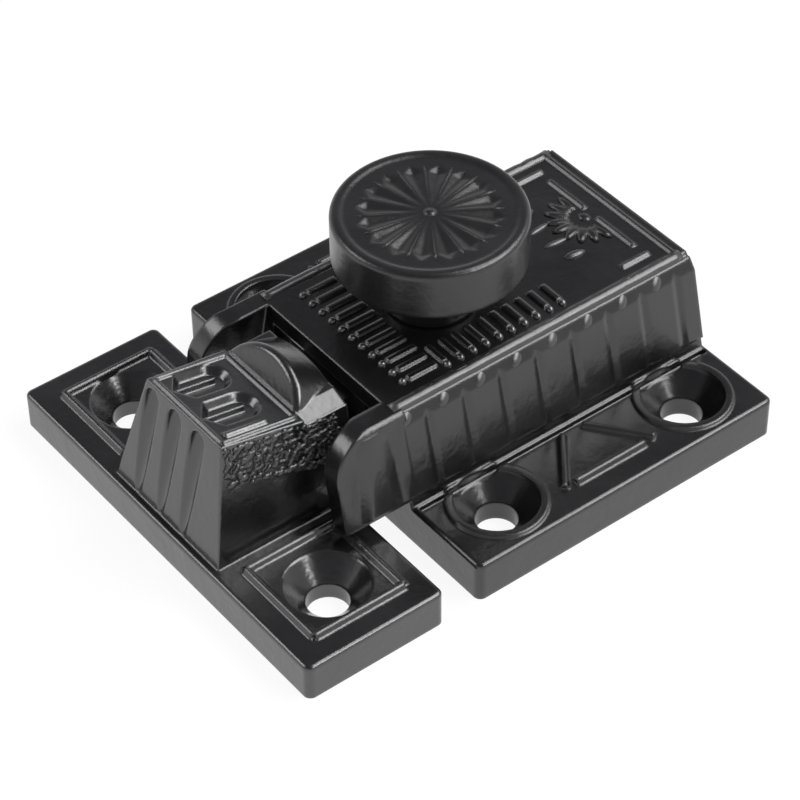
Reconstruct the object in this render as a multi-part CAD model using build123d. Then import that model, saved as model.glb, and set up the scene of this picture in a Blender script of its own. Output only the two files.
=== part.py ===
from build123d import *
import math
import os

os.makedirs("parts", exist_ok=True)

# Slide latch, millimetres. X runs from the keeper to the case, Z points away from the
# mounting face at z = 0, and the origin is the middle of the whole latch's footprint.

# Overall sizes
LATCH_WIDTH = 48.0
CASE_LENGTH = 37.8
KEEPER_LENGTH = 16.05
PLATE_GAP = 4.15
RUN_CLEAR = 0.2
FIT_CLEAR = 0.1

# Screw holes for countersunk wood screws
HOLE_R = 2.15
SINK_R = 4.3
SINK_DEPTH = 2.3

# Keeper
KEEPER_THICK = 4.1
KEEPER_FOOT_HALF = 9.4
KEEPER_DRAFT = 0.2
PANEL_TOP_Z = 16.6
PANEL_LOW_Z = 14.9
PANEL_LENGTH = 9.25
KEEPER_LEAN = 3.8
LIP_OVERHANG = 1.95
LIP_Z = 15.1
LIP_SHOULDER = 1.8
LIP_SHOULDER_DROP = 0.8
HUMP_HALF = 5.85
HUMP_END_HALF = 4.95
HUMP_SHIFT = 0.5
HUMP_TOP_Z = 18.7
HUMP_END_Z = 16.0
HUMP_LEAN = 0.65
HUMP_ROUND = 0.7
KEEPER_FRAME_INSET = 3.0
KEEPER_FRAME_IN_Y = 10.2
KEEPER_HOLE_Y = 16.3
POCKET_HALF = 4.6
POCKET_TOP_Z = 12.7
POCKET_DEPTH = 11.4
FLUTE_R = 1.1
FLUTE_PITCH = 3.75
FLUTE_MIDDLE_Y = 1.2
FLUTE_FOOT = 0.4
FLUTE_HEAD = 1.6
CELL_HALF = 2.0
CELL_LENGTH = 5.0
CELL_DEPTH = 0.75
CELL_POINT = 1.5
CELL_RIB = 0.5
CELL_PITCH = 4.85
CELL_MIDDLE_Y = 0.95

# Case
FLANGE_THICK = 4.5
FOOT_GROOVE = 0.6
SINK_RIM = 0.8
SINK_RIM_RISE = 0.3
CASE_TOP = 15.0
CASE_FOOT_HALF = 13.7
CASE_EAVE_HALF = 11.5
CASE_EAVE_Z = 13.5
CASE_TOP_HALF = 10.4
CHEEK_REACH = 7.7
CHEEK_FOOT_Z = 5.3
CHEEK_THICK = 2.2
CHEEK_ROUND_X = 4.8
CHEEK_ROUND_Z = 4.4
CASE_HOLE_Y = 18.0
CASE_HOLE_FRONT = 7.0
CASE_HOLE_SPACING = 24.0
CHEEK_TOP_HALF = 11.55
STAVE_PITCH = 4.5
STAVE_COUNT = 9
STAVE_FIRST = 1.25
STAVE_CHORD = 4.3
STAVE_RISE = 0.35
STAVE_TOP_Z = 11.6
MOUTH_HALF = 8.4
MOUTH_DEPTH = 2.0
FRONT_WALL = 2.0
BACK_WALL = 2.5
CAVITY_HALF = 8.6
CAVITY_TOP_Z = 12.5
RIDGE_RISE = 0.55
RIDGE_WIDTH = 1.1
BAND_RISE = 0.28
BAND_WIDTH = 0.75
BAND_X = 3.6
BAND_Y = 8.3
BAND_LENGTH = 3.4
BAND_PITCH = 1.6
BORDER_INSET = 0.3
BACK_FRAME_X = 33.9

# Bolt and knob
BOLT_TRAVEL = 4.6
BOLT_HALF = 4.0
BOLT_NOSE_REACH = 6.3
BOLT_TOP_Z = 12.2
BOLT_UNDER_Z = 5.8
BOLT_TAIL = 19.5
RUNNER_WIDTH = 2.0
KNOB_X = 13.1
KNOB_R = 9.75
KNOB_TOP_Z = 26.0
KNOB_UNDER_Z = 20.6
KNOB_RIM_R = 9.3
KNOB_EDGE = 0.6
KNOB_TUCK = 0.35
KNOB_SINK = 0.15
PETAL_IN_R = 1.0
PETAL_WIDE_AT_R = 6.2
PETAL_OUT_R = 7.3
PETAL_HALF = 1.0
PETAL_DEPTH = 0.3
NECK_R = 4.7
SHANK_R = 3.0
PETALS = 16
SCREW_R = 2.0
SCREW_HEAD_R = 3.4
SCREW_HEAD = 1.6

# Spring and back plate
SPRING_R = 2.35
SPRING_WIRE = 0.35
SPRING_TURNS = 6
SPIGOT_R = 1.6
SPIGOT_LENGTH = 2.5
BACK_PLATE = 1.2
BACK_RECESS = 1.5
RIVET_R = 0.9
RIVET_GRIP = 1.9

# Placements along X that follow from the sizes above
LATCH_LENGTH = KEEPER_LENGTH + PLATE_GAP + CASE_LENGTH
KEEPER_X0 = -LATCH_LENGTH / 2
KEEPER_X1 = KEEPER_X0 + KEEPER_LENGTH
CASE_X0 = KEEPER_X1 + PLATE_GAP
CASE_X1 = CASE_X0 + CASE_LENGTH
LIP_X = KEEPER_X1 + LIP_OVERHANG
PANEL_X0 = KEEPER_X0 + KEEPER_LEAN
PANEL_X1 = PANEL_X0 + PANEL_LENGTH
KEEPER_HOLE_X = (KEEPER_X0 + KEEPER_X1) / 2
CAVITY_X0 = CASE_X0 + MOUTH_DEPTH + FRONT_WALL
CAVITY_X1 = CASE_X1 - BACK_WALL
AXIS_Z = (BOLT_TOP_Z + BOLT_UNDER_Z) / 2
KNOB_AT = CASE_X0 + KNOB_X


def block(x0, x1, y0, y1, z0, z1):
    return Pos((x0 + x1) / 2, (y0 + y1) / 2, (z0 + z1) / 2) * Box(x1 - x0, y1 - y0, z1 - z0)


def along_x(face, x0, x1):
    return extrude(Plane.YZ.offset(x0) * face, x1 - x0)


def along_y(face, half):
    return extrude(Plane.XZ.offset(-half) * face, 2 * half)


def outline(*points):
    return Polygon(*points, align=None)


def cast_plate(x0, x1, half, thick):
    plate = block(x0, x1, -half, half, 0, thick)
    plate = fillet(plate.edges().filter_by(Axis.Z), 0.8)
    return fillet(plate.faces().sort_by(Axis.Z)[-1].edges(), 0.4)


def screw_hole(x, y, thick):
    bore = Pos(x, y, thick / 2) * Cylinder(HOLE_R, thick + 2)
    sink = Pos(x, y, thick - SINK_DEPTH / 2) * Cone(HOLE_R, SINK_R, SINK_DEPTH)
    return bore + sink


def ridge(x0, y0, x1, y1, z, width=RIDGE_WIDTH, rise=RIDGE_RISE, crown=0.33):
    length = math.hypot(x1 - x0, y1 - y0)
    turn = math.degrees(math.atan2(y1 - y0, x1 - x0))
    low = width / 2
    high = low * crown
    section = outline((-low, -rise), (low, -rise), (low, 0), (high, rise), (-high, rise), (-low, 0))
    bar = along_x(section, -length / 2, length / 2)
    return Pos((x0 + x1) / 2, (y0 + y1) / 2, z) * Rot(0, 0, turn) * bar


# Keeper casting

def keeper_half(z):
    return KEEPER_FOOT_HALF - KEEPER_DRAFT * z


def keeper_block():
    side = outline((KEEPER_X0, 0), (KEEPER_X1, 0), (KEEPER_X1, KEEPER_THICK),
                   (LIP_X, KEEPER_THICK + LIP_OVERHANG), (LIP_X, LIP_Z),
                   (PANEL_X1, LIP_Z), (PANEL_X1, PANEL_LOW_Z), (PANEL_X0, PANEL_TOP_Z))
    top = PANEL_TOP_Z + 1
    foot_half = keeper_half(0)
    top_half = keeper_half(top)
    taper = outline((-foot_half, 0), (foot_half, 0), (top_half, top), (-top_half, top))
    body = along_y(side, KEEPER_FOOT_HALF + 1) & along_x(taper, KEEPER_X0 - 1, LIP_X + 1)
    for face, reach in ((1, 0.3 * LIP_SHOULDER), (-1, LIP_SHOULDER)):
        edge = face * keeper_half(LIP_Z)
        low = LIP_Z - LIP_SHOULDER_DROP
        slope = make_face(Polyline((edge + face, low), (edge, low), (edge - face * reach, LIP_Z),
                                   (edge + face, LIP_Z), close=True))
        body -= extrude(Plane.YZ.offset(PANEL_X1) * slope, amount=LIP_X + 1 - PANEL_X1, dir=(1, 0, 0))
    return body


def arch(middle, half, low, high):
    near = middle - half
    far = middle + half
    return make_face([ThreePointArc((near, low), (middle, high), (far, low)), Line((far, low), (near, low))])


def keeper_hump():
    low = LIP_Z - 0.5
    start = Plane.YZ.offset(PANEL_X1) * arch(HUMP_SHIFT, HUMP_HALF, low, HUMP_TOP_Z)
    end = Plane.YZ.offset(LIP_X) * arch(HUMP_SHIFT, HUMP_END_HALF, low, HUMP_END_Z)
    hump = loft([start, end])
    clear_z = HUMP_TOP_Z + 1
    lean_x = PANEL_X1 + HUMP_LEAN * (clear_z - PANEL_LOW_Z)
    face_cut = outline((PANEL_X1 - 1, PANEL_LOW_Z), (PANEL_X1, PANEL_LOW_Z), (lean_x, clear_z),
                       (PANEL_X1 - 1, clear_z))
    hump -= along_y(face_cut, HUMP_HALF + 1)
    crest = hump.edges().filter_by(GeomType.LINE, reverse=True).sort_by(Axis.Z)[-1]
    return fillet(crest, HUMP_ROUND)


def keeper_face_x(z):
    return KEEPER_X0 + KEEPER_LEAN * z / PANEL_TOP_Z


def keeper_flute(y):
    low_z = KEEPER_THICK + FLUTE_FOOT
    high_z = PANEL_TOP_Z - FLUTE_HEAD
    low_x = keeper_face_x(low_z) - 0.95 * FLUTE_R
    high_x = keeper_face_x(high_z)
    lean = math.degrees(math.atan2(high_x - low_x, high_z - low_z))
    length = math.hypot(high_x - low_x, high_z - low_z)
    groove = Cylinder(FLUTE_R, length) + Pos(0, 0, length / 2) * Sphere(FLUTE_R)
    return Pos((low_x + high_x) / 2, y, (low_z + high_z) / 2) * Rot(0, lean, 0) * groove


def on_panel(share, y):
    slope = math.degrees(math.atan2(PANEL_TOP_Z - PANEL_LOW_Z, PANEL_LENGTH))
    x = PANEL_X0 + share * PANEL_LENGTH
    z = PANEL_TOP_Z - share * (PANEL_TOP_Z - PANEL_LOW_Z)
    return Pos(x, y, z) * Rot(0, slope, 0)


def panel_cell(y):
    straight = CELL_LENGTH - CELL_HALF
    end = straight / 2
    cell = outline((-end, -CELL_HALF), (end, -CELL_HALF), (end, CELL_HALF), (-end, CELL_HALF),
                   (-end - CELL_POINT, 0))
    cell += Pos(end, 0) * Circle(CELL_HALF)
    return on_panel(0.43, y) * extrude(cell, -CELL_DEPTH, taper=40)


def cell_rib(y):
    reach = CELL_LENGTH / 2
    return on_panel(0.43, y) * ridge(-reach - 0.5, 0, reach - 0.5, 0, -CELL_DEPTH, CELL_RIB, 0.8 * CELL_DEPTH)


def panel_border():
    half = keeper_half(PANEL_TOP_Z) - 0.5
    reach = PANEL_LENGTH / 2 - 0.45
    thin = 0.7 * BAND_WIDTH
    bars = [ridge(-reach, side * half, reach, side * half, 0, thin, BAND_RISE) for side in (-1, 1)]
    bars += [ridge(end * reach, -half, end * reach, half, 0, thin, BAND_RISE) for end in (-1, 1)]
    strip_y = CELL_MIDDLE_Y - CELL_PITCH - 0.4 * CELL_HALF
    bars.append(ridge(-0.8 * reach, strip_y, 0.35 * reach, strip_y, 0, 1.1 * BAND_WIDTH, BAND_RISE))
    return [on_panel(0.5, 0) * bar for bar in bars]


def make_keeper():
    keeper = cast_plate(KEEPER_X0, KEEPER_X1, LATCH_WIDTH / 2, KEEPER_THICK)
    keeper += keeper_block()
    keeper += keeper_hump()
    keeper += panel_border()
    for step in (-1, 0, 1):
        keeper -= keeper_flute(FLUTE_MIDDLE_Y + step * FLUTE_PITCH)
    for step in (-0.5, 0.5):
        y = CELL_MIDDLE_Y + step * CELL_PITCH
        keeper -= panel_cell(y)
        keeper += cell_rib(y)
    pocket_x = LIP_X - POCKET_DEPTH
    keeper -= block(pocket_x, LIP_X + 1, -POCKET_HALF, POCKET_HALF, KEEPER_THICK, POCKET_TOP_Z)
    for side in (-1, 1):
        y = side * KEEPER_HOLE_Y
        out_y = side * (LATCH_WIDTH / 2 - KEEPER_FRAME_INSET)
        in_y = side * KEEPER_FRAME_IN_Y
        left = KEEPER_X0 + KEEPER_FRAME_INSET
        right = KEEPER_X1 - KEEPER_FRAME_INSET + 0.4
        keeper += ridge(left, out_y, right, out_y, KEEPER_THICK)
        keeper += ridge(left, in_y, right, in_y, KEEPER_THICK)
        keeper += ridge(left, in_y, left, out_y, KEEPER_THICK)
        keeper += ridge(right, in_y, right, out_y, KEEPER_THICK)
        keeper -= screw_hole(KEEPER_HOLE_X, y, KEEPER_THICK)
    return keeper


# Case casting

def case_section(inset):
    foot = CASE_FOOT_HALF - inset
    pts = [(foot, 0), (foot, FLANGE_THICK), (CASE_EAVE_HALF - inset, CASE_EAVE_Z), (CASE_TOP_HALF - inset, CASE_TOP)]
    return outline(*pts, *[(-y, z) for y, z in reversed(pts)])


def wall_half(z):
    share = (z - FLANGE_THICK) / (CASE_EAVE_Z - FLANGE_THICK)
    return CASE_FOOT_HALF + share * (CASE_EAVE_HALF - CASE_FOOT_HALF)


def cheek_section(inset):
    foot = CASE_FOOT_HALF - inset
    top = CHEEK_TOP_HALF - inset
    pts = [(foot, 0), (foot, FLANGE_THICK), (top, CASE_TOP - 0.4), (top - 0.4, CASE_TOP)]
    return outline(*pts, *[(-y, z) for y, z in reversed(pts)])


def cheek_side():
    front = CASE_X0 - CHEEK_REACH
    bend_z = CASE_TOP - CHEEK_ROUND_Z
    bend_x = front + CHEEK_ROUND_X
    back = CASE_X0 + 1
    middle = (bend_x - CHEEK_ROUND_X * math.sqrt(0.5), bend_z + CHEEK_ROUND_Z * math.sqrt(0.5))
    return make_face([Line((front, CHEEK_FOOT_Z), (front, bend_z)),
                      ThreePointArc((front, bend_z), middle, (bend_x, CASE_TOP)),
                      Polyline((bend_x, CASE_TOP), (back, CASE_TOP), (back, CHEEK_FOOT_Z), (front, CHEEK_FOOT_Z))])


def cheek_shell(outset):
    front = CASE_X0 - CHEEK_REACH
    back = CASE_X0 + 1
    shell = along_x(cheek_section(-outset), front, back) & along_y(cheek_side(), CASE_FOOT_HALF + 1)
    shell -= along_x(cheek_section(CHEEK_THICK), front - 1, back + 1)
    return shell - block(front - 1, back + 1, -MOUTH_HALF, MOUTH_HALF, CASE_TOP - CHEEK_ROUND_Z, CASE_TOP + 1)


def stave(x, side):
    radius = (STAVE_CHORD ** 2 / 4 + STAVE_RISE ** 2) / (2 * STAVE_RISE)
    lean = math.degrees(math.atan2(CASE_FOOT_HALF - CASE_EAVE_HALF, CASE_EAVE_Z - FLANGE_THICK))
    length = STAVE_TOP_Z - FLANGE_THICK + 0.5
    rib = Pos(0, 0, -length / 2) * Cylinder(radius, length) + Sphere(radius)
    depth = radius - STAVE_RISE
    y = wall_half(STAVE_TOP_Z) - depth
    return Pos(x, side * y, STAVE_TOP_Z) * Rot(side * lean, 0, 0) * rib


def make_case():
    case = cast_plate(CASE_X0, CASE_X1, LATCH_WIDTH / 2, FLANGE_THICK)
    body = along_x(case_section(0), CASE_X0, CASE_X1 - 0.3)
    eaves = body.edges().filter_by(Axis.X).filter_by_position(Axis.Z, CASE_EAVE_Z - 0.2, CASE_EAVE_Z + 0.2)
    body = fillet(eaves, 1.2)
    case += body
    case += cheek_shell(0)
    skin = along_x(case_section(-STAVE_RISE), CASE_X0, CASE_X1 - 0.3) - block(
        CASE_X0 - 1, CASE_X1, -CAVITY_HALF, CAVITY_HALF, -1, CASE_TOP + 1)
    wide = CASE_FOOT_HALF + 1
    skin &= block(CASE_X0 - 1, CASE_X1, -wide, wide, FLANGE_THICK - 0.3, CASE_TOP - 0.35)
    cheek_front = block(CASE_X0 - CHEEK_REACH + 1, CASE_X0 + 0.5, -wide, wide, CHEEK_FOOT_Z + 0.4, CASE_TOP - 0.6)
    for side in (-1, 1):
        ribs = [stave(CASE_X0 + STAVE_FIRST + n * STAVE_PITCH, side) for n in range(STAVE_COUNT)]
        case += [rib & skin for rib in ribs]
        front_ribs = [stave(CASE_X0 + STAVE_FIRST + n * STAVE_PITCH, side) for n in (-1, 0)]
        case += [rib & cheek_shell(STAVE_RISE) & cheek_front for rib in front_ribs]
    case += top_ornament()
    mouth_x = CASE_X0 + MOUTH_DEPTH
    case -= block(CASE_X0 - 1, mouth_x, -MOUTH_HALF, MOUTH_HALF, FLANGE_THICK + 0.4, CAVITY_TOP_Z + 0.4)
    case -= block(CAVITY_X0, CAVITY_X1, -CAVITY_HALF, CAVITY_HALF, -1, CAVITY_TOP_Z)
    case -= block(CASE_X0, CAVITY_X0 + 1, -BOLT_HALF - RUN_CLEAR, BOLT_HALF + RUN_CLEAR,
                  BOLT_UNDER_Z - RUN_CLEAR, BOLT_TOP_Z + RUN_CLEAR)
    recess = CAVITY_HALF + 2
    case -= block(CAVITY_X0 - 1.6, CAVITY_X1 + 1.4, -recess, recess, -1, BACK_RECESS)
    slot_r = SHANK_R + RUN_CLEAR
    slot_mid = KNOB_AT + BOLT_TRAVEL / 2
    slot = Rectangle(BOLT_TRAVEL, 2 * slot_r)
    slot += Pos(-BOLT_TRAVEL / 2, 0) * Circle(slot_r)
    slot += Pos(BOLT_TRAVEL / 2, 0) * Circle(slot_r)
    case -= Pos(slot_mid, 0, CAVITY_TOP_Z - 1) * extrude(slot, CASE_TOP - CAVITY_TOP_Z + 2)
    spigot = Rot(0, 90, 0) * Cylinder(SPIGOT_R, SPIGOT_LENGTH + 0.2)
    case += Pos(CAVITY_X1 - SPIGOT_LENGTH / 2 + 0.1, 0, AXIS_Z) * spigot
    for side in (-1, 1):
        near_x = CASE_X0 + CASE_HOLE_FRONT
        far_x = near_x + CASE_HOLE_SPACING
        mid_x = (near_x + far_x) / 2
        out_y = side * (LATCH_WIDTH / 2 - 3.2)
        in_y = side * (CASE_FOOT_HALF + 1.4)
        case += ridge(mid_x - 4.4, out_y, mid_x + 4.4, out_y, FLANGE_THICK)
        case += ridge(mid_x - 5.8, out_y, mid_x - 1.3, in_y, FLANGE_THICK)
        case += ridge(mid_x + 5.8, out_y, mid_x + 1.3, in_y, FLANGE_THICK)
        for x in (near_x, far_x):
            case += Pos(x, side * CASE_HOLE_Y, FLANGE_THICK) * Cylinder(SINK_R + SINK_RIM, 2 * SINK_RIM_RISE)
            case -= screw_hole(x, side * CASE_HOLE_Y, FLANGE_THICK)
            case -= Pos(x, side * CASE_HOLE_Y, FLANGE_THICK + 1) * Cylinder(SINK_R, 2)
        groove_y = side * (CASE_FOOT_HALF + STAVE_RISE + FOOT_GROOVE / 2)
        case -= block(CASE_X0 + 0.5, CASE_X1 - 0.5, groove_y - FOOT_GROOVE / 2, groove_y + FOOT_GROOVE / 2,
                      FLANGE_THICK - FOOT_GROOVE, FLANGE_THICK + SINK_RIM_RISE)
    for x, y in rivet_places():
        case -= Pos(x, y, BACK_RECESS) * Cylinder(RIVET_R, 2 * RIVET_GRIP + 0.2)
    return case


def top_bar(x0, y0, x1, y1, crown=0.33):
    return ridge(CASE_X0 + x0, y0, CASE_X0 + x1, y1, CASE_TOP, BAND_WIDTH, BAND_RISE, crown)


def top_ornament():
    bars = []
    for n in range(-5, 6):
        bars.append(top_bar(BAND_X + 0.4, n * BAND_PITCH, BAND_X + 0.4 + BAND_LENGTH, n * BAND_PITCH, 0.8))
    for side in (-1, 1):
        for n in range(-3, 7):
            x = KNOB_X + n * BAND_PITCH
            bars.append(top_bar(x, side * BAND_Y, x, side * (BAND_Y - 0.8 * BAND_LENGTH), 0.8))
        edge = side * (CASE_TOP_HALF - BORDER_INSET)
        bars.append(top_bar(BAND_X - 0.6, edge, CASE_LENGTH - 1.2, edge))
        bars.append(top_bar(BACK_FRAME_X, side * 1.0, BACK_FRAME_X, side * 6.6))
        bars.append(top_bar(BACK_FRAME_X - 3.2, side * BAND_Y, BACK_FRAME_X + 0.4, side * BAND_Y))
    edge = CASE_TOP_HALF - BORDER_INSET
    bars.append(top_bar(CASE_LENGTH - 1.6, -edge, CASE_LENGTH - 1.6, edge))
    return bars


def rivet_places():
    front = CAVITY_X0 + 4
    back = CAVITY_X1 - 4
    y = CAVITY_HALF + 1.0
    return [(front, y), (front, -y), (back, y), (back, -y)]


# Sliding bolt, knob and the screw between them

def make_bolt():
    front = CAVITY_X0 + RUN_CLEAR
    tail = CASE_X0 + BOLT_TAIL
    half = CAVITY_HALF - RUN_CLEAR
    bolt = block(front, tail, -half, half, BOLT_UNDER_Z, BOLT_TOP_Z)
    nose_x = CASE_X0 - BOLT_NOSE_REACH
    nose = outline((nose_x, BOLT_TOP_Z), (nose_x, BOLT_UNDER_Z + 3.6), (nose_x + 3.4, BOLT_UNDER_Z),
                   (front + 1, BOLT_UNDER_Z), (front + 1, BOLT_TOP_Z))
    bolt += along_y(nose, BOLT_HALF)
    for side in (-1, 1):
        y = side * (half - RUNNER_WIDTH / 2)
        bolt += block(front, tail, y - RUNNER_WIDTH / 2, y + RUNNER_WIDTH / 2,
                      BACK_RECESS + RUN_CLEAR, BOLT_UNDER_Z + 0.5)
    spigot = Rot(0, 90, 0) * Cylinder(SPIGOT_R, SPIGOT_LENGTH + 0.2)
    bolt += Pos(tail + SPIGOT_LENGTH / 2 - 0.1, 0, AXIS_Z) * spigot
    bolt -= Pos(KNOB_AT, 0, AXIS_Z) * Cylinder(SCREW_R + FIT_CLEAR, 2 * BOLT_TOP_Z)
    bolt -= Pos(KNOB_AT, 0, BOLT_UNDER_Z + SCREW_HEAD / 2) * Cylinder(SCREW_HEAD_R + FIT_CLEAR, SCREW_HEAD)
    return bolt


def knob_profile():
    foot = CASE_TOP + RUN_CLEAR
    tuck = KNOB_R - KNOB_TUCK
    rim_z = KNOB_TOP_Z - KNOB_EDGE
    cove = 0.8
    floor_z = KNOB_TOP_Z - KNOB_SINK
    return make_face([
        Polyline((0, BOLT_TOP_Z), (SHANK_R, BOLT_TOP_Z), (SHANK_R, foot), (NECK_R, foot),
                 (NECK_R, KNOB_UNDER_Z - cove)),
        ThreePointArc((NECK_R, KNOB_UNDER_Z - cove), (NECK_R + 0.3 * cove, KNOB_UNDER_Z - 0.3 * cove),
                      (NECK_R + cove, KNOB_UNDER_Z)),
        Line((NECK_R + cove, KNOB_UNDER_Z), (tuck, KNOB_UNDER_Z)),
        ThreePointArc((tuck, KNOB_UNDER_Z), (KNOB_R - 0.3 * KNOB_TUCK, KNOB_UNDER_Z + 0.3 * KNOB_TUCK),
                      (KNOB_R, KNOB_UNDER_Z + KNOB_TUCK)),
        Line((KNOB_R, KNOB_UNDER_Z + KNOB_TUCK), (KNOB_R, rim_z)),
        ThreePointArc((KNOB_R, rim_z), (KNOB_R - 0.3 * (KNOB_R - KNOB_RIM_R), KNOB_TOP_Z - 0.3 * KNOB_EDGE),
                      (KNOB_RIM_R, KNOB_TOP_Z)),
        Polyline((KNOB_RIM_R, KNOB_TOP_Z), (KNOB_RIM_R - 0.5, KNOB_TOP_Z), (KNOB_RIM_R - 0.9, floor_z),
                 (0, floor_z), (0, BOLT_TOP_Z)),
    ])


def petal_cut():
    tips = [(PETAL_IN_R, 0, 0), (PETAL_OUT_R, 0, 0)]
    at = PETAL_WIDE_AT_R
    waist = [(at, PETAL_HALF, 0), (at, 0, PETAL_DEPTH), (at, -PETAL_HALF, 0), (at, 0, -PETAL_DEPTH)]
    faces = []
    for tip in tips:
        for n in range(4):
            faces.append(make_face(Polyline(tip, waist[n], waist[(n + 1) % 4], close=True)))
    return Solid(Shell(faces))


def make_knob():
    knob = revolve(Plane.XZ * knob_profile(), Axis.Z)
    floor_z = KNOB_TOP_Z - KNOB_SINK
    knob -= [Rot(0, 0, 360 * n / PETALS) * Pos(0, 0, floor_z) * petal_cut() for n in range(PETALS)]
    bore = KNOB_UNDER_Z - BOLT_TOP_Z
    knob -= Pos(0, 0, BOLT_TOP_Z + bore / 2) * Cylinder(SCREW_R + FIT_CLEAR, bore + 0.02)
    return Pos(KNOB_AT, 0, 0) * knob


def make_screw():
    top = KNOB_UNDER_Z - 0.4
    under = BOLT_UNDER_Z
    screw = Pos(0, 0, (under + top) / 2) * Cylinder(SCREW_R, top - under)
    screw += Pos(0, 0, under + SCREW_HEAD / 2) * Cylinder(SCREW_HEAD_R, SCREW_HEAD)
    screw -= Pos(0, 0, under) * Box(3 * SCREW_HEAD_R, 0.9, 1.4)
    return Pos(KNOB_AT, 0, 0) * screw


# Fixed inner pieces

def make_spring():
    start = CASE_X0 + BOLT_TAIL + SPRING_WIRE + 0.02
    end = CAVITY_X1 - SPRING_WIRE - 0.02
    coil = Helix(pitch=(end - start) / SPRING_TURNS, height=end - start, radius=SPRING_R)
    wire = sweep((coil ^ 0) * RegularPolygon(SPRING_WIRE, 6), path=coil)
    return Pos(start, 0, AXIS_Z) * Rot(0, 90, 0) * wire


def make_back_plate():
    gap = FIT_CLEAR
    plate = block(CAVITY_X0 - 1.6 + gap, CAVITY_X1 + 1.4 - gap, -CAVITY_HALF - 2 + gap, CAVITY_HALF + 2 - gap,
                  BACK_RECESS - BACK_PLATE, BACK_RECESS)
    for x, y in rivet_places():
        plate -= Pos(x, y, BACK_RECESS) * Cylinder(RIVET_R + FIT_CLEAR, 8)
    return plate


def make_rivets():
    rivets = []
    low = BACK_RECESS - BACK_PLATE
    for x, y in rivet_places():
        rivets.append(Pos(x, y, low) * extrude(Circle(RIVET_R), BACK_PLATE + RIVET_GRIP))
    return Compound(rivets)


export_step(make_keeper(), "parts/keeper.step")
export_step(make_case(), "parts/case.step")
export_step(make_bolt(), "parts/bolt.step")
export_step(make_knob(), "parts/knob.step")
export_step(make_screw(), "parts/knob_screw.step")
export_step(make_spring(), "parts/bolt_spring.step")
export_step(make_back_plate(), "parts/back_plate.step")
export_step(make_rivets(), "parts/back_plate_rivets.step")
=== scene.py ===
import math

import bmesh
import bpy
from mathutils import Matrix, Vector


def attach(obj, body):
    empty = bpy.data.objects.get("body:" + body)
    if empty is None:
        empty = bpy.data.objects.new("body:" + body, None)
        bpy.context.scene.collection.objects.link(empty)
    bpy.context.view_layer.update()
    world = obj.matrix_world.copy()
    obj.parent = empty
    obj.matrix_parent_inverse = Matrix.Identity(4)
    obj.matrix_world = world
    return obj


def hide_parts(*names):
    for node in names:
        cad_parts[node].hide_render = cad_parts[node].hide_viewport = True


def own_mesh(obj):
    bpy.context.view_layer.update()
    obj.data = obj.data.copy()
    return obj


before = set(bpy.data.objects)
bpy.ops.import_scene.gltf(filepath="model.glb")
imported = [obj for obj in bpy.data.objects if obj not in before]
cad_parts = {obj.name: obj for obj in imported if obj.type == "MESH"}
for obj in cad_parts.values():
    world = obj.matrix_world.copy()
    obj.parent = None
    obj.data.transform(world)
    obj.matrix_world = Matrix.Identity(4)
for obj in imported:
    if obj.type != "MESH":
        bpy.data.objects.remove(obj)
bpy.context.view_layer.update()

MM = 0.001
ALONG = (1, 0, 0)
UP = (0, 0, 1)

# Places of the castings, in millimetres, as in the solids
CASE_X0 = -8.8
CASE_X1 = 29.0
CASE_TOP = 15.0
KEEPER_X0 = -29.0


# Materials, with lengths in metres

BEVEL_SAMPLES = 12
FLAT_DOT = 0.99
EDGE_DOT = 0.86

BROAD_SCALE = 160.0
FINE_SCALE = 1500.0
FINE_DETAIL = 2.0
FINE_SHARE = 0.15
DARK_SHARE = 0.7
LIGHT_SHARE = 1.4
DARK_AT = 0.3
TINT_AT = 0.55
LIGHT_AT = 0.8
RUB_LOW = 0.2
RUB_HIGH = 1.0
SKIN_STRENGTH = 0.3
SKIN_DEPTH = 0.0004

STEEL_SCALE = 900.0
STEEL_DETAIL = 5.0
STEEL_DARK_SHARE = 0.8
STEEL_DARK_AT = 0.3
STEEL_TINT_AT = 0.7
STEEL_EDGE = 0.0001
STEEL_STRENGTH = 0.1
STEEL_DEPTH = 0.0001


def new_material(name):
    mat = bpy.data.materials.new(name)
    mat.use_nodes = True
    nodes = mat.node_tree.nodes
    return mat, nodes, mat.node_tree.links, nodes["Principled BSDF"]


def noise(nodes, links, coords, scale, detail=4.0, roughness=0.55):
    node = nodes.new("ShaderNodeTexNoise")
    node.inputs["Scale"].default_value = scale
    node.inputs["Detail"].default_value = detail
    node.inputs["Roughness"].default_value = roughness
    links.new(coords, node.inputs["Vector"])
    return node.outputs["Fac"]


def ramp(nodes, links, fac, *stops):
    node = nodes.new("ShaderNodeValToRGB")
    elements = node.color_ramp.elements
    while len(elements) < len(stops):
        elements.new(0.5)
    for element, (place, colour) in zip(elements, stops):
        element.position = place
        element.color = (*colour, 1.0)
    links.new(fac, node.inputs["Fac"])
    return node.outputs["Color"]


def scaled(nodes, links, value, low, high):
    node = nodes.new("ShaderNodeMapRange")
    node.inputs["To Min"].default_value = low
    node.inputs["To Max"].default_value = high
    links.new(value, node.inputs["Value"])
    return node.outputs["Result"]


def soft_edge(nodes, radius):
    bevel = nodes.new("ShaderNodeBevel")
    bevel.samples = BEVEL_SAMPLES
    bevel.inputs["Radius"].default_value = radius
    return bevel.outputs["Normal"]


def bump(nodes, links, height, normal, strength, distance):
    node = nodes.new("ShaderNodeBump")
    node.inputs["Strength"].default_value = strength
    node.inputs["Distance"].default_value = distance
    links.new(height, node.inputs["Height"])
    links.new(normal, node.inputs["Normal"])
    return node.outputs["Normal"]


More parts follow.
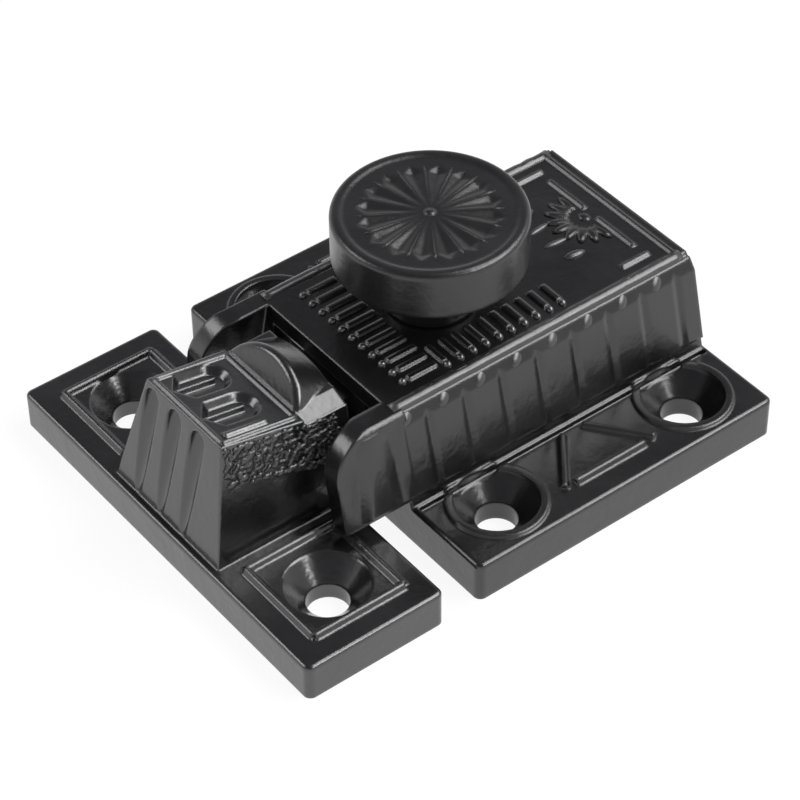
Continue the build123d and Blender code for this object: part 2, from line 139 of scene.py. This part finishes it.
def edge_mask(nodes, links, normal):
    """Zero on flat faces, rising to one where the rounded normal leaves the true one."""
    dot = nodes.new("ShaderNodeVectorMath")
    dot.operation = "DOT_PRODUCT"
    links.new(normal, dot.inputs[0])
    links.new(nodes.new("ShaderNodeNewGeometry").outputs["True Normal"], dot.inputs[1])
    node = nodes.new("ShaderNodeMapRange")
    node.inputs["From Min"].default_value = FLAT_DOT
    node.inputs["From Max"].default_value = EDGE_DOT
    links.new(dot.outputs["Value"], node.inputs["Value"])
    return node.outputs["Result"]


def enamel(name, tint, worn, rough_low, rough_high, edge_radius, gloss):
    """Black enamel over cast iron: uneven gloss, a fine skin, soft edges rubbed lighter."""
    mat, nodes, links, bsdf = new_material(name)
    coords = nodes.new("ShaderNodeTexCoord").outputs["Object"]
    broad = noise(nodes, links, coords, BROAD_SCALE)
    fine = noise(nodes, links, coords, FINE_SCALE, detail=FINE_DETAIL)
    normal = soft_edge(nodes, edge_radius)
    dark = tuple(DARK_SHARE * c for c in tint)
    light = tuple(LIGHT_SHARE * c for c in tint)
    coat = ramp(nodes, links, broad, (DARK_AT, dark), (TINT_AT, tint), (LIGHT_AT, light))
    rub = nodes.new("ShaderNodeMath")
    rub.operation = "MULTIPLY"
    links.new(edge_mask(nodes, links, normal), rub.inputs[0])
    links.new(scaled(nodes, links, fine, RUB_LOW, RUB_HIGH), rub.inputs[1])
    mix = nodes.new("ShaderNodeMix")
    mix.data_type = "RGBA"
    links.new(rub.outputs["Value"], mix.inputs["Factor"])
    links.new(coat, mix.inputs["A"])
    mix.inputs["B"].default_value = (*worn, 1.0)
    links.new(mix.outputs["Result"], bsdf.inputs["Base Color"])
    links.new(scaled(nodes, links, broad, rough_low, rough_high), bsdf.inputs["Roughness"])
    height = nodes.new("ShaderNodeMath")
    height.operation = "MULTIPLY_ADD"
    height.inputs[1].default_value = FINE_SHARE
    links.new(fine, height.inputs[0])
    links.new(broad, height.inputs[2])
    skin = bump(nodes, links, height.outputs["Value"], normal, SKIN_STRENGTH, SKIN_DEPTH)
    links.new(skin, bsdf.inputs["Normal"])
    bsdf.inputs["IOR"].default_value = gloss
    return mat


def steel(name, tint, rough_low, rough_high):
    mat, nodes, links, bsdf = new_material(name)
    coords = nodes.new("ShaderNodeTexCoord").outputs["Object"]
    grain = noise(nodes, links, coords, STEEL_SCALE, detail=STEEL_DETAIL)
    dark = tuple(STEEL_DARK_SHARE * c for c in tint)
    colour = ramp(nodes, links, grain, (STEEL_DARK_AT, dark), (STEEL_TINT_AT, tint))
    links.new(colour, bsdf.inputs["Base Color"])
    links.new(scaled(nodes, links, grain, rough_low, rough_high), bsdf.inputs["Roughness"])
    normal = soft_edge(nodes, STEEL_EDGE)
    skin = bump(nodes, links, grain, normal, STEEL_STRENGTH, STEEL_DEPTH)
    links.new(skin, bsdf.inputs["Normal"])
    bsdf.inputs["Metallic"].default_value = 1.0
    return mat


COAT = (0.0085, 0.0085, 0.009)
RUBBED = (0.045, 0.044, 0.045)
# Raised ornament coat: a lighter copy of the black enamel, a painted highlight; the edge
# colour is rubbed wear, lightened as painted highlight too.
RAISED_COAT_PAINTED_HIGHLIGHT = (0.016, 0.0158, 0.0165)
RAISED_WEAR_AND_PAINTED_HIGHLIGHT = (0.06, 0.058, 0.06)
# Bead coat: a lighter copy of the black enamel, a painted highlight that makes the beads
# read as bright dots; the lighter edge colour is rubbed wear plus painted highlight.
BEAD_COAT_PAINTED_HIGHLIGHT = (0.03, 0.0295, 0.0305)
BEAD_WEAR_AND_PAINTED_HIGHLIGHT = (0.1, 0.098, 0.1)
BOLT_COAT = (0.02, 0.02, 0.021)
BOLT_RUBBED = (0.08, 0.08, 0.08)
STEEL_TINT = (0.45, 0.45, 0.46)

BLACK = enamel("black_enamel", COAT, RUBBED,
               rough_low=0.14, rough_high=0.27, edge_radius=0.0004, gloss=1.88)
CASE_BLACK = enamel("case_enamel", COAT, RUBBED,
                    rough_low=0.16, rough_high=0.3, edge_radius=0.00045, gloss=1.7)
KNOB_BLACK = enamel("knob_enamel", COAT, RUBBED,
                    rough_low=0.23, rough_high=0.37, edge_radius=0.00055, gloss=1.65)
# Lighter enamel for the raised ornament, a painted highlight over rubbed edges.
RAISED = enamel("raised_enamel_wear_and_painted_highlight", RAISED_COAT_PAINTED_HIGHLIGHT, RAISED_WEAR_AND_PAINTED_HIGHLIGHT,
                rough_low=0.28, rough_high=0.42, edge_radius=0.00012, gloss=1.85)
# Lighter enamel for the beads, a painted highlight.
PAINTED_HIGHLIGHT_BEAD_ENAMEL = enamel("bead_enamel_painted_highlight", BEAD_COAT_PAINTED_HIGHLIGHT, BEAD_WEAR_AND_PAINTED_HIGHLIGHT,
                rough_low=0.22, rough_high=0.34, edge_radius=0.0001, gloss=2.3)
WORN = enamel("bolt_enamel", BOLT_COAT, BOLT_RUBBED,
              rough_low=0.25, rough_high=0.42, edge_radius=0.0002, gloss=1.7)
STEEL = steel("plain_steel", STEEL_TINT, rough_low=0.25, rough_high=0.45)

NODE_MATERIALS = {
    "keeper": BLACK,
    "case": CASE_BLACK,
    "knob": KNOB_BLACK,
    "bolt": WORN,
    "knob_screw": STEEL,
    "bolt_spring": STEEL,
    "back_plate": STEEL,
    "back_plate_rivets": STEEL,
}
for node, mat in NODE_MATERIALS.items():
    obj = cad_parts[node]
    obj.data.materials.clear()
    obj.data.materials.append(mat)


# Cast ornament, placed in millimetres on the castings

PEBBLE_SPAN = math.radians(115)
SCATTER_N = 12.9898
SCATTER_M = 78.233
SCATTER_SALT = 37.7
SCATTER_GAIN = 43758.5453


def place(x, y, z):
    return Vector((x, y, z)) * MM


def wobble(n, m, salt):
    """A repeatable scatter between -0.5 and 0.5."""
    turn = math.sin(SCATTER_N * n + SCATTER_M * m + SCATTER_SALT * salt)
    return math.fmod(abs(turn * SCATTER_GAIN), 1.0) - 0.5


def frame_at(at, along, out):
    """A turn whose X lies along the piece and whose Z points out of the surface."""
    z = Vector(out).normalized()
    x = Vector(along)
    x = (x - x.dot(z) * z).normalized()
    turn = Matrix((x, z.cross(x), z)).transposed().to_4x4()
    return Matrix.Translation(place(*at)) @ turn


def pebble(bm, at, along, out, size, sides=12, rings=4):
    """A rounded lump with three half sizes, whose foot is sunk in the surface under it."""
    turn = frame_at(at, along, out) @ Matrix.Diagonal((*(MM * c for c in size), 1.0))
    top = bm.verts.new(turn @ Vector((0, 0, 1)))
    circles = []
    for n in range(1, rings + 1):
        down = PEBBLE_SPAN * n / rings
        circle = []
        for k in range(sides):
            angle = 2 * math.pi * k / sides
            at_ring = Vector((math.sin(down) * math.cos(angle),
                              math.sin(down) * math.sin(angle), math.cos(down)))
            circle.append(bm.verts.new(turn @ at_ring))
        circles.append(circle)
    for k in range(sides):
        bm.faces.new((top, circles[0][k], circles[0][(k + 1) % sides]))
        for one, two in zip(circles, circles[1:]):
            bm.faces.new((one[k], two[k], two[(k + 1) % sides], one[(k + 1) % sides]))
    bm.faces.new(list(reversed(circles[-1])))


def join_rings(bm, rings):
    """A closed skin over a row of rings with the same number of points."""
    sides = len(rings[0])
    for one, two in zip(rings, rings[1:]):
        for k in range(sides):
            bm.faces.new((one[k], two[k], two[(k + 1) % sides], one[(k + 1) % sides]))
    bm.faces.new(rings[0])
    bm.faces.new(list(reversed(rings[-1])))


def bead_string(bm, points, radii, out, sides=8):
    """A raised line through points, with its own radius at each and flat ends."""
    rings = []
    for n, (point, radius) in enumerate(zip(points, radii)):
        before = Vector(points[max(n - 1, 0)])
        after = Vector(points[min(n + 1, len(points) - 1)])
        turn = frame_at(point, after - before, out)
        ring = []
        for k in range(sides):
            angle = 2 * math.pi * k / sides
            across = Vector((0, math.cos(angle), math.sin(angle)))
            ring.append(bm.verts.new(turn @ (across * radius * MM)))
        rings.append(ring)
    join_rings(bm, rings)


# Pieces default to the lighter raised enamel, a painted highlight.
def add_piece(name, bm, body, material=RAISED):
    bmesh.ops.recalc_face_normals(bm, faces=bm.faces)
    mesh = bpy.data.meshes.new(name)
    bm.to_mesh(mesh)
    bm.free()
    for face in mesh.polygons:
        face.use_smooth = True
    mesh.materials.append(material)
    piece = bpy.data.objects.new(name, mesh)
    bpy.context.collection.objects.link(piece)
    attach(piece, body)
    return piece


# Rows of beads at the outer ends of the short bars on the case's top
BAR_PITCH = 1.6
BEAD_LONG = 0.45
BEAD_SHORT = 0.9 * BEAD_LONG
FRONT_BEADS_X = CASE_X0 + 3.4
FRONT_BEADS_HALF = 5
SIDE_BEADS_Y = 8.75
SIDE_BEADS_FIRST = -3
SIDE_BEADS_LAST = 6
KNOB_X = CASE_X0 + 13.1


def add_top_beads():
    bm = bmesh.new()
    for n in range(-FRONT_BEADS_HALF, FRONT_BEADS_HALF + 1):
        at = (FRONT_BEADS_X, n * BAR_PITCH, CASE_TOP)
        pebble(bm, at, ALONG, UP, (BEAD_LONG, BEAD_SHORT, BEAD_SHORT))
    for side in (-1, 1):
        for n in range(SIDE_BEADS_FIRST, SIDE_BEADS_LAST + 1):
            at = (KNOB_X + n * BAR_PITCH, side * SIDE_BEADS_Y, CASE_TOP)
            pebble(bm, at, ALONG, UP, (BEAD_SHORT, BEAD_LONG, BEAD_SHORT))
    # Beads in the lighter enamel, a painted highlight.
    add_piece("top_beads", bm, "housing", PAINTED_HIGHLIGHT_BEAD_ENAMEL)


# Uneven rounded bead over the rail along each long edge of the case's top
EDGE_BEAD_X0 = CASE_X0 + 0.2
EDGE_BEAD_X1 = CASE_X1 - 1.1
EDGE_BEAD_Y = 10.25
EDGE_BEAD_Z = 14.6
EDGE_BEAD_R = 0.72
EDGE_BEAD_VARY = 0.08
EDGE_BEAD_ROW = 4
EDGE_BEAD_STEPS = 44
EDGE_BEAD_SIDES = 16


def add_edge_beads():
    bm = bmesh.new()
    for side in (-1, 1):
        points = []
        radii = []
        for n in range(EDGE_BEAD_STEPS + 1):
            x = EDGE_BEAD_X0 + (EDGE_BEAD_X1 - EDGE_BEAD_X0) * n / EDGE_BEAD_STEPS
            points.append((x, side * EDGE_BEAD_Y, EDGE_BEAD_Z))
            radii.append(EDGE_BEAD_R + EDGE_BEAD_VARY * wobble(n, EDGE_BEAD_ROW, side))
        bead_string(bm, points, radii, UP, sides=EDGE_BEAD_SIDES)
    add_piece("top_edge_beads", bm, "housing")


# Low palmette between the knob and the back of the case's top, with a leaf and
# stroke on each side in the lighter raised enamel, a painted highlight
PALMETTE_X = CASE_X0 + 33.0
PALMETTE_R = 4.3
FAN_LEAVES = 9
FAN_START = 90
FAN_SPREAD = 180
FAN_MIDDLE = 0.62
FAN_LEAN = 0.06
FAN_LEAF_SIZE = (0.36 * PALMETTE_R, 0.6, 0.13)
FAN_BOSS_SIZE = (0.7, 0.9, 0.16)
LEAF_X = PALMETTE_X - 4.6
LEAF_Y = 3.9
LEAF_SPLAY = 0.15
LEAF_SIZE = (1.3, 0.52, 0.36)
STROKE_X = PALMETTE_X - 4.9
STROKE_Y = 1.35
STROKE_SPLAY = 0.1
STROKE_SIZE = (1.5, 0.36, 0.26)


def add_palmette():
    fan = bmesh.new()
    leaves = bmesh.new()
    for n in range(FAN_LEAVES):
        angle = math.radians(FAN_START + FAN_SPREAD * n / (FAN_LEAVES - 1))
        out = Vector((math.cos(angle), math.sin(angle), 0))
        middle = FAN_MIDDLE * PALMETTE_R * out
        pebble(fan, (PALMETTE_X + middle.x, middle.y, CASE_TOP), (out.x, out.y, 0.0),
               (-FAN_LEAN * out.x, -FAN_LEAN * out.y, 1), FAN_LEAF_SIZE)
    pebble(fan, (PALMETTE_X, 0, CASE_TOP), ALONG, UP, FAN_BOSS_SIZE)
    for side in (-1, 1):
        leaf_at = (LEAF_X, side * LEAF_Y, CASE_TOP)
        pebble(leaves, leaf_at, (1, side * LEAF_SPLAY, 0), UP, LEAF_SIZE)
        stroke_at = (STROKE_X, side * STROKE_Y, CASE_TOP)
        pebble(leaves, stroke_at, (1, side * STROKE_SPLAY, 0), UP, STROKE_SIZE)
    add_piece("top_palmette", fan, "housing", CASE_BLACK)
    add_piece("top_leaves", leaves, "housing")


# Eggs on the sloped shoulders over the side walls, one above each stave, with a slim dart
# between them
EGG_FIRST_X = CASE_X0 + 1.25
EGG_END_X = CASE_X1 - 1.4
EGG_PITCH = 4.5
EGGS = 9
EGG_Y = 11.1
EGG_Z = 13.95
EGG_SIZE = (1.15, 0.78, 0.45)
EGG_TILT = 47.0
EGG_SLANT = 0.9
EGG_SIDES = 16
EGG_RINGS = 6
WALL_DART_IN = 0.1
WALL_DART_OUT = 0.59
WALL_DART_FALL = 0.81
WALL_DART_STEPS = (-0.8, -0.2, 0.6, 1.4)
WALL_DART_RADII = (0.24, 0.24, 0.18, 0.05)


def add_eggs():
    bm = bmesh.new()
    for side in (-1, 1):
        level = math.cos(math.radians(EGG_TILT))
        rise = math.sin(math.radians(EGG_TILT))
        out = Vector((0, side * level, rise))
        down = Vector((0, side * rise, -level))
        slant = down - Vector((EGG_SLANT, 0, 0))
        fall = Vector((0, side * WALL_DART_OUT, -WALL_DART_FALL))
        dart_out = (0, side * WALL_DART_FALL, WALL_DART_OUT)
        for n in range(EGGS):
            at = Vector((EGG_FIRST_X + n * EGG_PITCH, side * EGG_Y, EGG_Z))
            if at.x < EGG_END_X:
                pebble(bm, at, slant, out, EGG_SIZE, sides=EGG_SIDES, rings=EGG_RINGS)
            between = at + Vector((EGG_PITCH / 2, side * -WALL_DART_IN, 0))
            if between.x < EGG_END_X:
                points = [between + step * fall for step in WALL_DART_STEPS]
                bead_string(bm, points, WALL_DART_RADII, dart_out)
    add_piece("wall_eggs", bm, "housing")


# Pebbled band on the keeper's two side walls, closed below by a ragged row of larger lumps
KEEPER_FOOT_HALF = 9.4
KEEPER_DRAFT = 0.2
KEEPER_LEAN = 3.8 / 16.6
KEEPER_MARGIN = 0.4
PANEL_X0 = -25.2
PANEL_X1 = -15.95
PANEL_EDGE_Z = 16.3
PANEL_FALL = 0.184
BAND_LOW_Z = 12.9
BAND_FALL = 0.3
BAND_END_X = -12.2
LIP_EDGE_Z = 14.1
GRAINS_X = 24
GRAINS_Z = 8
GRAIN_R = 0.3
GRAIN_VARY = 0.2
GRAIN_LONG = 1.25
GRAIN_HIGH = 0.16
GRAIN_SHIFT_X = 0.8
GRAIN_SHIFT_Z = 0.7
GRAIN_SIDES = 8
LUMP_R = 0.34
LUMP_VARY = 0.3
LUMP_LONG = 1.3
LUMP_HIGH = 0.26
LUMP_DROP = 0.3
LUMP_SHIFT_X = 0.5
LUMP_SHIFT_Z = 0.7
LUMP_SIDES = 10
LOW_RINGS = 3


def band_low(x):
    return BAND_LOW_Z - BAND_FALL * min(x - PANEL_X0, PANEL_X1 - PANEL_X0)


def band_high(x):
    return PANEL_EDGE_Z - PANEL_FALL * (x - PANEL_X0) if x < PANEL_X1 else LIP_EDGE_Z


def on_keeper_wall(x, z, side):
    end_x = KEEPER_X0 + KEEPER_LEAN * z + KEEPER_MARGIN
    return (max(x, end_x), side * (KEEPER_FOOT_HALF - KEEPER_DRAFT * z), z)


def add_keeper_grain():
    grain = bmesh.new()
    edge = bmesh.new()
    pitch = (BAND_END_X - PANEL_X0) / GRAINS_X
    for side in (-1, 1):
        out = (0, side, KEEPER_DRAFT)
        for n in range(GRAINS_X):
            for m in range(GRAINS_Z):
                x = PANEL_X0 + pitch * (n + 0.5 + GRAIN_SHIFT_X * wobble(n, m, 2 + side))
                row = m + 0.5 + GRAIN_SHIFT_Z * wobble(n, m, side)
                z = band_low(x) + (band_high(x) - band_low(x)) * row / GRAINS_Z
                size = GRAIN_R + GRAIN_VARY * wobble(n, m, 5 + side)
                pebble(grain, on_keeper_wall(x, z, side), (1, 0, wobble(n, m, 7)), out,
                       (GRAIN_LONG * size, size, GRAIN_HIGH),
                       sides=GRAIN_SIDES, rings=LOW_RINGS)
            x = PANEL_X0 + pitch * (n + 0.5 + LUMP_SHIFT_X * wobble(n, 1, 4))
            z = band_low(x) - LUMP_DROP + LUMP_SHIFT_Z * wobble(n, 3, 9 + side)
            wide = LUMP_R + LUMP_VARY * wobble(n, 2, 6 + side)
            pebble(edge, on_keeper_wall(x, z, side), (1, 0, wobble(n, 5, 3)), out,
                   (LUMP_LONG * wide, wide, LUMP_HIGH),
                   sides=LUMP_SIDES, rings=LOW_RINGS)
    add_piece("keeper_wall_grain", grain, "housing", BLACK)
    add_piece("keeper_wall_edging", edge, "housing")


# Thin darts between the petals of the knob, with a low boss in the middle
PETALS = 16
KNOB_FLOOR_Z = 25.8
DART_IN_R = 2.0
DART_OUT_R = 7.2
DART_STEPS = 8
DART_THIN = 0.05
DART_GROWTH = 0.14
DART_CURVE = 1.5
DART_TIP = 0.08
BOSS_SIZE = (0.8, 0.8, 0.18)


def add_knob_darts():
    bm = bmesh.new()
    for n in range(PETALS):
        angle = 2 * math.pi * (n + 0.5) / PETALS
        points = []
        radii = []
        for k in range(DART_STEPS + 1):
            share = k / DART_STEPS
            r = DART_IN_R + (DART_OUT_R - DART_IN_R) * share
            points.append((KNOB_X + r * math.cos(angle), r * math.sin(angle), KNOB_FLOOR_Z))
            thick = DART_THIN + DART_GROWTH * share ** DART_CURVE
            radii.append(thick if k < DART_STEPS else DART_TIP)
        bead_string(bm, points, radii, UP)
    pebble(bm, (KNOB_X, 0, KNOB_FLOOR_Z), ALONG, UP, BOSS_SIZE)
    add_piece("knob_darts", bm, "slider", KNOB_BLACK)


# Coil spring behind the bolt, built at one length; the real one shortens towards its fixed
# end as the bolt draws back
COIL_X0 = 11.07
COIL_X1 = 26.13
COIL_Z = 9.0
COIL_R = 2.35
COIL_WIRE = 0.35
COIL_TURNS = 6
COIL_STEPS = 28
COIL_SIDES = 10


def add_spring():
    bm = bmesh.new()
    rings = []
    steps = COIL_STEPS * COIL_TURNS
    for n in range(steps + 1):
        angle = 2 * math.pi * n / COIL_STEPS
        radial = Vector((0, math.sin(angle), -math.cos(angle)))
        x = COIL_X0 + (COIL_X1 - COIL_X0) * n / steps
        centre = Vector((x, 0, COIL_Z)) + COIL_R * radial
        ring = []
        for k in range(COIL_SIDES):
            turn = 2 * math.pi * k / COIL_SIDES
            across = math.cos(turn) * radial + math.sin(turn) * Vector(ALONG)
            ring.append(bm.verts.new(MM * (centre + COIL_WIRE * across)))
        rings.append(ring)
    join_rings(bm, rings)
    coil = add_piece("spring_coil", bm, "housing", STEEL)
    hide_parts("bolt_spring")
    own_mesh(coil)


add_spring()
add_top_beads()
add_edge_beads()
add_palmette()
add_eggs()
add_keeper_grain()
add_knob_darts()


# Camera: its place and turn, fitted to the photograph

CAMERA_AT = Vector((-133.47, -175.25, 209.22)) * MM
CAMERA_AZ = math.radians(52.63)
CAMERA_EL = math.radians(43.02)
CAMERA_ROLL = math.radians(0.761)
CAMERA_LENS = 135.0
CAMERA_SENSOR = 36.0
CAMERA_NEAR = 0.01


def add_camera():
    forward = Vector((math.cos(CAMERA_EL) * math.cos(CAMERA_AZ),
                      math.cos(CAMERA_EL) * math.sin(CAMERA_AZ), -math.sin(CAMERA_EL)))
    level = Vector((math.sin(CAMERA_AZ), -math.cos(CAMERA_AZ), 0.0))
    down = forward.cross(level)
    right = math.cos(CAMERA_ROLL) * level + math.sin(CAMERA_ROLL) * down
    down = math.cos(CAMERA_ROLL) * down - math.sin(CAMERA_ROLL) * level
    data = bpy.data.cameras.new("camera")
    data.lens = CAMERA_LENS
    data.sensor_width = CAMERA_SENSOR
    data.clip_start = CAMERA_NEAR
    camera = bpy.data.objects.new("camera", data)
    turn = Matrix((right, -down, -forward)).transposed().to_4x4()
    camera.matrix_world = Matrix.Translation(CAMERA_AT) @ turn
    bpy.context.collection.objects.link(camera)
    bpy.context.scene.camera = camera


add_camera()


# Stage and light, with lengths in metres and angles in degrees

FLOOR_HALF = 1.5
FLOOR_COLOUR = (0.85, 0.85, 0.85, 1.0)
FLOOR_ROUGHNESS = 0.9
FLOOR_GLOW = 1.04
FLOOR_GLOW_SHARE = 0.88

SKY_WHITE = (1.0, 1.0, 1.0)
SKY_PALE = (0.75, 0.75, 0.77)
SKY_GREY = (0.34, 0.34, 0.36)
SKY_DARK = (0.15, 0.15, 0.16)
SKY_PALE_AT = 0.2
SKY_GREY_AT = 0.46
SKY_DARK_AT = 0.68


def add_floor():
    """A white ground that glows for the rays that look at it, and takes shadow."""
    mesh = bpy.data.meshes.new("floor")
    size = FLOOR_HALF
    corners = [(-size, -size, 0), (size, -size, 0), (size, size, 0), (-size, size, 0)]
    mesh.from_pydata(corners, [], [(0, 1, 2, 3)])
    floor = bpy.data.objects.new("floor", mesh)
    bpy.context.collection.objects.link(floor)
    mat, nodes, links, bsdf = new_material("floor")
    bsdf.inputs["Base Color"].default_value = FLOOR_COLOUR
    bsdf.inputs["Roughness"].default_value = FLOOR_ROUGHNESS
    glow = nodes.new("ShaderNodeEmission")
    glow.inputs["Strength"].default_value = FLOOR_GLOW
    path = nodes.new("ShaderNodeLightPath")
    seen = nodes.new("ShaderNodeMath")
    seen.operation = "MAXIMUM"
    links.new(path.outputs["Is Camera Ray"], seen.inputs[0])
    links.new(path.outputs["Is Glossy Ray"], seen.inputs[1])
    through = nodes.new("ShaderNodeMath")
    through.operation = "MAXIMUM"
    links.new(seen.outputs["Value"], through.inputs[0])
    links.new(path.outputs["Is Transmission Ray"], through.inputs[1])
    share = nodes.new("ShaderNodeMath")
    share.operation = "MULTIPLY"
    share.inputs[1].default_value = FLOOR_GLOW_SHARE
    links.new(through.outputs["Value"], share.inputs[0])
    mix = nodes.new("ShaderNodeMixShader")
    links.new(share.outputs["Value"], mix.inputs["Fac"])
    links.new(bsdf.outputs["BSDF"], mix.inputs[1])
    links.new(glow.outputs["Emission"], mix.inputs[2])
    links.new(mix.outputs["Shader"], nodes["Material Output"].inputs["Surface"])
    mesh.materials.append(mat)


def add_world():
    """A studio that is white at and below the horizon and darkens overhead."""
    world = bpy.data.worlds.new("studio")
    bpy.context.scene.world = world
    world.use_nodes = True
    nodes = world.node_tree.nodes
    links = world.node_tree.links
    coords = nodes.new("ShaderNodeTexCoord").outputs["Generated"]
    split = nodes.new("ShaderNodeSeparateXYZ")
    links.new(coords, split.inputs["Vector"])
    shade = ramp(nodes, links, split.outputs["Z"], (0.0, SKY_WHITE), (SKY_PALE_AT, SKY_PALE),
                 (SKY_GREY_AT, SKY_GREY), (SKY_DARK_AT, SKY_DARK))
    links.new(shade, nodes["Background"].inputs["Color"])


def add_softbox(name, azimuth, elevation, distance, width, height, power):
    data = bpy.data.lights.new(name, "AREA")
    data.shape = "RECTANGLE"
    data.size = width
    data.size_y = height
    data.energy = power
    lamp = bpy.data.objects.new(name, data)
    az = math.radians(azimuth)
    el = math.radians(elevation)
    out = Vector((math.cos(el) * math.cos(az), math.cos(el) * math.sin(az), math.sin(el)))
    turn = out.to_track_quat("Z", "Y").to_matrix().to_4x4()
    lamp.matrix_world = Matrix.Translation(out * distance) @ turn
    bpy.context.collection.objects.link(lamp)


add_floor()
add_world()
add_softbox("key_high", azimuth=-10.0, elevation=54.0, distance=0.7,
            width=0.4, height=0.44, power=2.6)
add_softbox("key_low", azimuth=-54.0, elevation=45.0, distance=0.75,
            width=0.5, height=0.24, power=3.0)
add_softbox("fill", azimuth=135.0, elevation=40.0, distance=0.8,
            width=0.4, height=0.3, power=1.5)

bpy.context.scene.view_settings.view_transform = "Standard"
